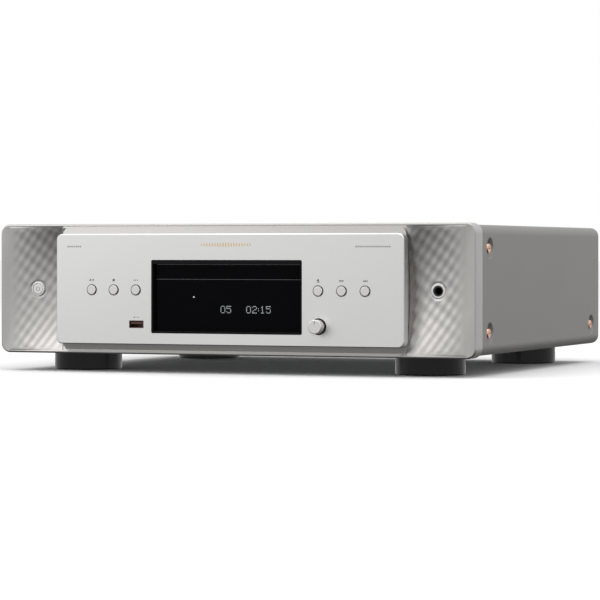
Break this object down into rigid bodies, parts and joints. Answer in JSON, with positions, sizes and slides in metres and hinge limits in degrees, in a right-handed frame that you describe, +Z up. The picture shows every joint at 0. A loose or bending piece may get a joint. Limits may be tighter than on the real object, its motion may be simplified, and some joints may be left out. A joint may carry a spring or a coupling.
{
  "type": "cd player",
  "caption": "Full-width disc player with a raised centre plate, dished textured wings, motorised drawer, round keys, level knob and round feet.",
  "frame": {"origin": "on the floor plane under the centre of the overall box", "axes": "+X to the listener's right when facing the front, front faces -Y, +Z up"},
  "size_m": [0.442, 0.4112, 0.129],
  "materials": {
    "champagne_shell": "fine metallic satin",
    "plate_metal": "fine brushed satin",
    "cover_paint": "textured metallic paint",
    "zinc_steel": "zinc plated",
    "copper_screw": "copper plated",
    "window_black": "polished smoked",
    "bezel_black": "polished",
    "foot_black": "satin",
    "button_silver": "fine turned",
    "jack_black": "moulded",
    "gold_jack": "gold plated",
    "board_green": "solder mask",
    "mechanism_grey": "moulded",
    "tray_black": "fine grained",
    "gear_white": "acetal",
    "belt_rubber": "matte",
    "damper_rubber": "soft matte",
    "motor_steel": "plated can",
    "rod_steel": "ground",
    "lens_glass": "coated",
    "core_varnish": "varnished laminations",
    "cap_sleeve": "shrink sleeve"
  },
  "bodies": {
    "chassis": {"base_pan": "zinc_steel", "chassis_brackets": "zinc_steel", "top_cover": "cover_paint", "cover_screws": "copper_screw", "rear_panel": "cover_paint", "rear_screws": "copper_screw", "front_fascia": "champagne_shell", "centre_plate": "plate_metal", "window_bezel": "bezel_black", "display_window": "window_black", "power_ring": "button_silver", "foot_front_left": "foot_black", "foot_front_right": "foot_black", "foot_rear_left": "foot_black", "foot_rear_right": "foot_black", "level_pot": "zinc_steel", "key_switches": "jack_black", "front_board": "board_green", "display_module": "jack_black", "usb_socket": "gold_jack", "headphone_socket": "jack_black", "headphone_ring": "button_silver", "analog_out_left": "gold_jack", "analog_out_right": "gold_jack", "coaxial_out": "gold_jack", "optical_out": "jack_black", "remote_sockets": "jack_black", "mains_inlet": "jack_black", "drive_belt": "belt_rubber", "loading_motor": "motor_steel", "loader_frame": "mechanism_grey", "clamp_bridge": "mechanism_grey", "mechanism_dampers": "damper_rubber", "transformer": "core_varnish", "power_board": "board_green", "audio_board": "board_green", "board_capacitors": "cap_sleeve"},
    "tray": {"tray_door": "window_black", "disc_tray": "tray_black"},
    "tray_gear_wheel": {"tray_gear": "gear_white"},
    "pulley": {"drive_pulley": "gear_white"},
    "motor_drive": {"motor_pulley": "gear_white"},
    "mechanism": {"traverse": "mechanism_grey", "guide_rods": "rod_steel", "spindle_motor": "motor_steel", "sled_motor": "motor_steel"},
    "sled": {"pickup_sled": "tray_black", "pickup_lens": "lens_glass"},
    "sled_pinion": {"sled_gear": "gear_white"},
    "platter": {"turntable": "mechanism_grey"},
    "clamp": {"clamp_puck": "tray_black"},
    "level": {"level_knob": "button_silver", "level_shaft": "zinc_steel"},
    "play_button_cap": {"play_button": "button_silver"},
    "stop_button_cap": {"stop_button": "button_silver"},
    "input_button_cap": {"input_button": "button_silver"},
    "open_button_cap": {"open_button": "button_silver"},
    "previous_button_cap": {"previous_button": "button_silver"},
    "next_button_cap": {"next_button": "button_silver"},
    "power_button_cap": {"power_button": "button_silver"}
  },
  "joints": [
    {"name": "tray_slide", "type": "slide", "parent": "chassis", "child": "tray", "axis": [0, -1, 0], "range_m": [0, 0.148]},
    {"name": "tray_gear_turn", "type": "hinge", "parent": "chassis", "child": "tray_gear_wheel", "pos_m": [-0.0452, -0.16245, 0.079], "axis": [0, 0, 1], "range_deg": [-1100, 200]},
    {"name": "pulley_turn", "type": "hinge", "parent": "chassis", "child": "pulley", "pos_m": [-0.0452, -0.14485, 0.079], "axis": [0, 0, 1], "range_deg": [-300, 1900]},
    {"name": "motor_turn", "type": "hinge", "parent": "chassis", "child": "motor_drive", "pos_m": [-0.0452, -0.11385, 0.074], "axis": [0, 0, 1], "range_deg": [-900, 5700]},
    {"name": "mechanism_lift", "type": "hinge", "parent": "chassis", "child": "mechanism", "pos_m": [0, -0.02645, 0.0715], "axis": [-1, 0, 0], "range_deg": [0, 6]},
    {"name": "sled_slide", "type": "slide", "parent": "mechanism", "child": "sled", "axis": [0, 1, 0], "range_m": [0, 0.0345]},
    {"name": "sled_gear_turn", "type": "hinge", "parent": "mechanism", "child": "sled_pinion", "pos_m": [0.0135, -0.05845, 0.0755], "axis": [0, 0, 1], "range_deg": [-1300, 400]},
    {"name": "platter_spin", "type": "hinge", "parent": "mechanism", "child": "platter", "pos_m": [0, -0.11445, 0.078], "axis": [0, 0, 1], "continuous": true},
    {"name": "clamp_spin", "type": "hinge", "parent": "chassis", "child": "clamp", "pos_m": [0, -0.11445, 0.097], "axis": [0, 0, 1], "continuous": true},
    {"name": "level_turn", "type": "hinge", "parent": "chassis", "child": "level", "pos_m": [0.085, -0.20045, 0.0417], "axis": [0, 1, 0], "range_deg": [-150, 150]},
    {"name": "play_button_press", "type": "slide", "parent": "chassis", "child": "play_button_cap", "axis": [0, 1, 0], "range_m": [0, 0.0008], "stiffness_N_per_m": 600},
    {"name": "stop_button_press", "type": "slide", "parent": "chassis", "child": "stop_button_cap", "axis": [0, 1, 0], "range_m": [0, 0.0008], "stiffness_N_per_m": 600},
    {"name": "input_button_press", "type": "slide", "parent": "chassis", "child": "input_button_cap", "axis": [0, 1, 0], "range_m": [0, 0.0008], "stiffness_N_per_m": 600},
    {"name": "open_button_press", "type": "slide", "parent": "chassis", "child": "open_button_cap", "axis": [0, 1, 0], "range_m": [0, 0.0008], "stiffness_N_per_m": 600},
    {"name": "previous_button_press", "type": "slide", "parent": "chassis", "child": "previous_button_cap", "axis": [0, 1, 0], "range_m": [0, 0.0008], "stiffness_N_per_m": 600},
    {"name": "next_button_press", "type": "slide", "parent": "chassis", "child": "next_button_cap", "axis": [0, 1, 0], "range_m": [0, 0.0008], "stiffness_N_per_m": 600},
    {"name": "power_button_press", "type": "slide", "parent": "chassis", "child": "power_button_cap", "axis": [0, 1, 0], "range_m": [0, 0.0008], "stiffness_N_per_m": 600}
  ],
  "couplings": [
    {"joint": "tray_gear_turn", "follows": "tray_slide", "rad_per_m": -89.286},
    {"joint": "pulley_turn", "follows": "tray_slide", "rad_per_m": 156.25},
    {"joint": "motor_turn", "follows": "tray_slide", "rad_per_m": 468.75},
    {"joint": "sled_gear_turn", "follows": "sled_slide", "rad_per_m": -285.71}
  ]
}
